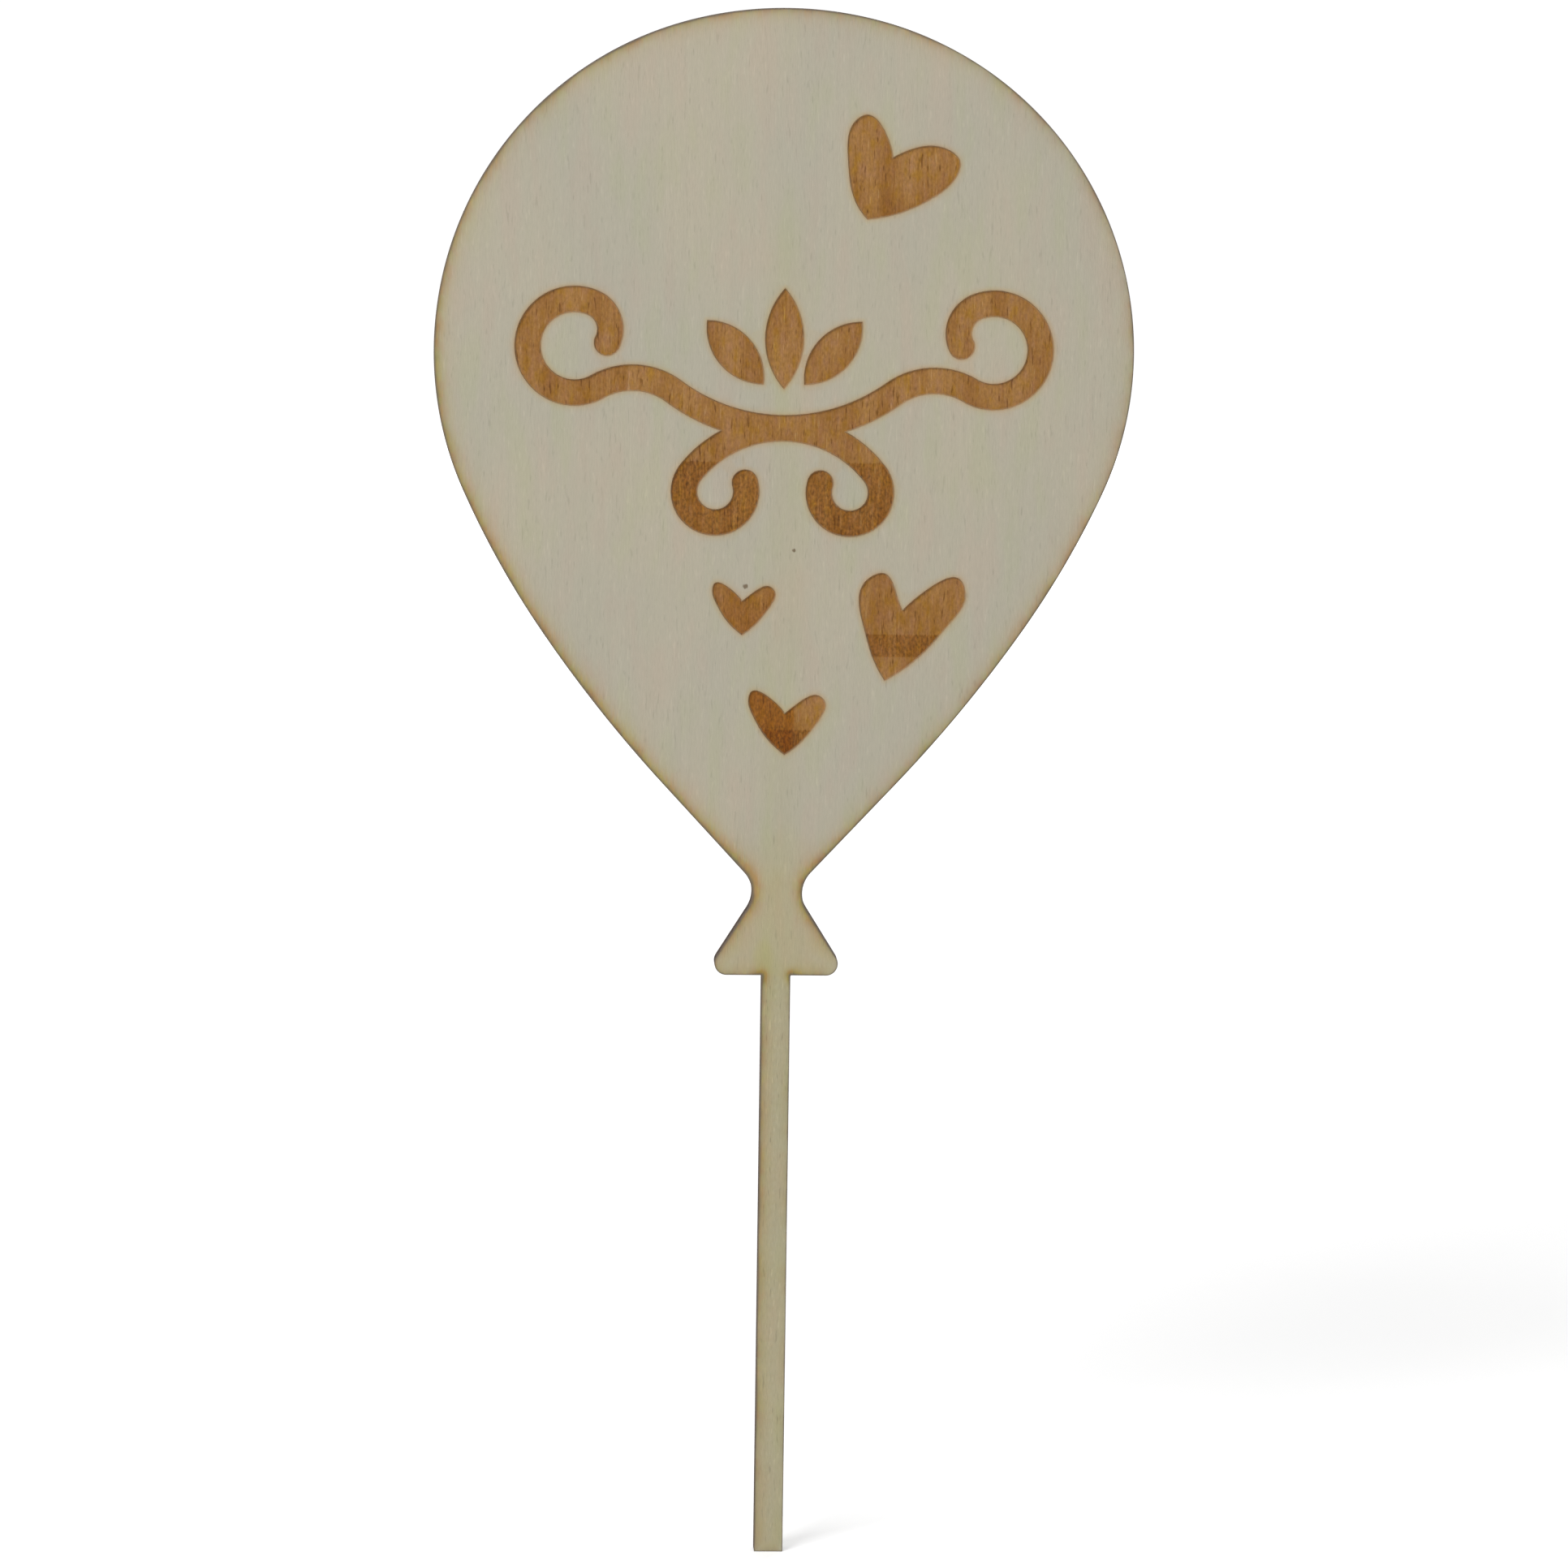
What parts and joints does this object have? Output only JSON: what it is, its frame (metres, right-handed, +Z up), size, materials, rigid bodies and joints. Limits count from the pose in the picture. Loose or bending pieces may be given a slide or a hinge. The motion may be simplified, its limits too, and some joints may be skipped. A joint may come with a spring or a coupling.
{
  "type": "cake topper",
  "caption": "Flat balloon-shaped wooden cake topper with a knot and stick in one outline, laser-cut from plywood sheet and engraved with hearts and a scroll ornament.",
  "frame": {"origin": "middle of the stick's square lower end, half-way through the sheet's thickness", "axes": "+Z up along the stick to the balloon's top, +Y out of the plain back, the engraved front faces -Y, +X to the right as seen from the front"},
  "size_m": [0.0898, 0.003, 0.2009],
  "materials": {
    "face_wood": "pale sanded veneer, unvarnished, scorched along the cut, engraved marks burnt brown",
    "core_wood": "cross-grained veneer, charred brown on the cut edge",
    "glue": "thin dark glue film, charred on the cut edge"
  },
  "bodies": {
    "root": {"front_veneer": "face_wood", "front_glue_line": "glue", "core_veneer": "core_wood", "back_glue_line": "glue", "back_veneer": "face_wood"}
  },
  "joints": []
}
